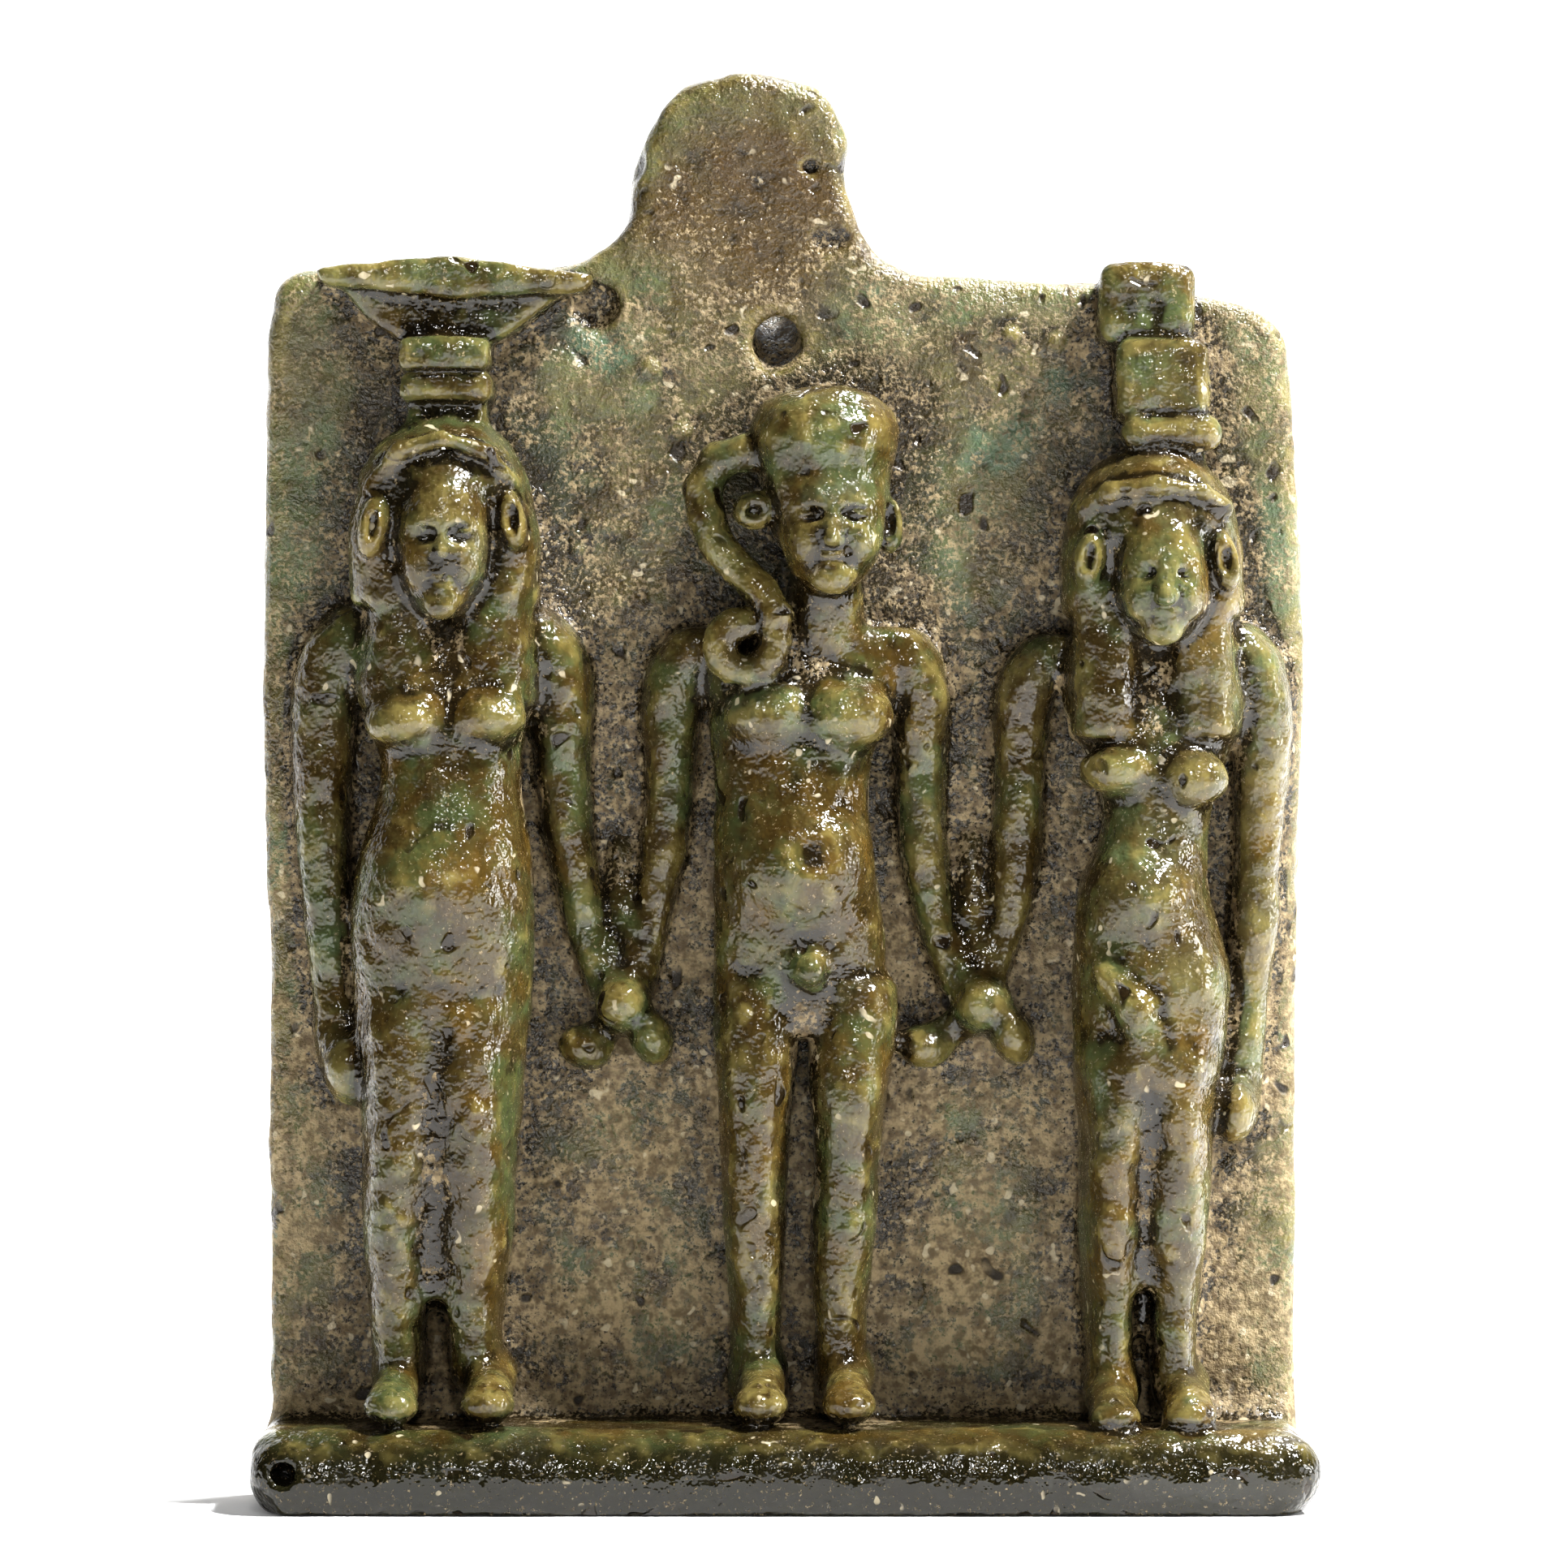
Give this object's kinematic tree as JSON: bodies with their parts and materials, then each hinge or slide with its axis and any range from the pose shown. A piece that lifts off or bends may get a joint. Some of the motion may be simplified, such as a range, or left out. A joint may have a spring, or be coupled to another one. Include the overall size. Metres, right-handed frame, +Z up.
{
  "type": "triad amulet",
  "caption": "Moulded glazed amulet of standing figures side by side, hand in hand, on a back plate with a base ledge and a pierced suspension tab on top.",
  "frame": {"origin": "centre of the bounding box on the plane that the base ledge stands on", "axes": "+Z up along the standing figures; -Y the way the figures face, +Y out of the flat back; +X to the viewer's right when looking at the figures"},
  "size_m": [0.037, 0.01, 0.05],
  "materials": {
    "glazed_composition": "glossy, worn, with dust in the recesses"
  },
  "bodies": {
    "root": {"triad_amulet": "glazed_composition"}
  },
  "joints": []
}
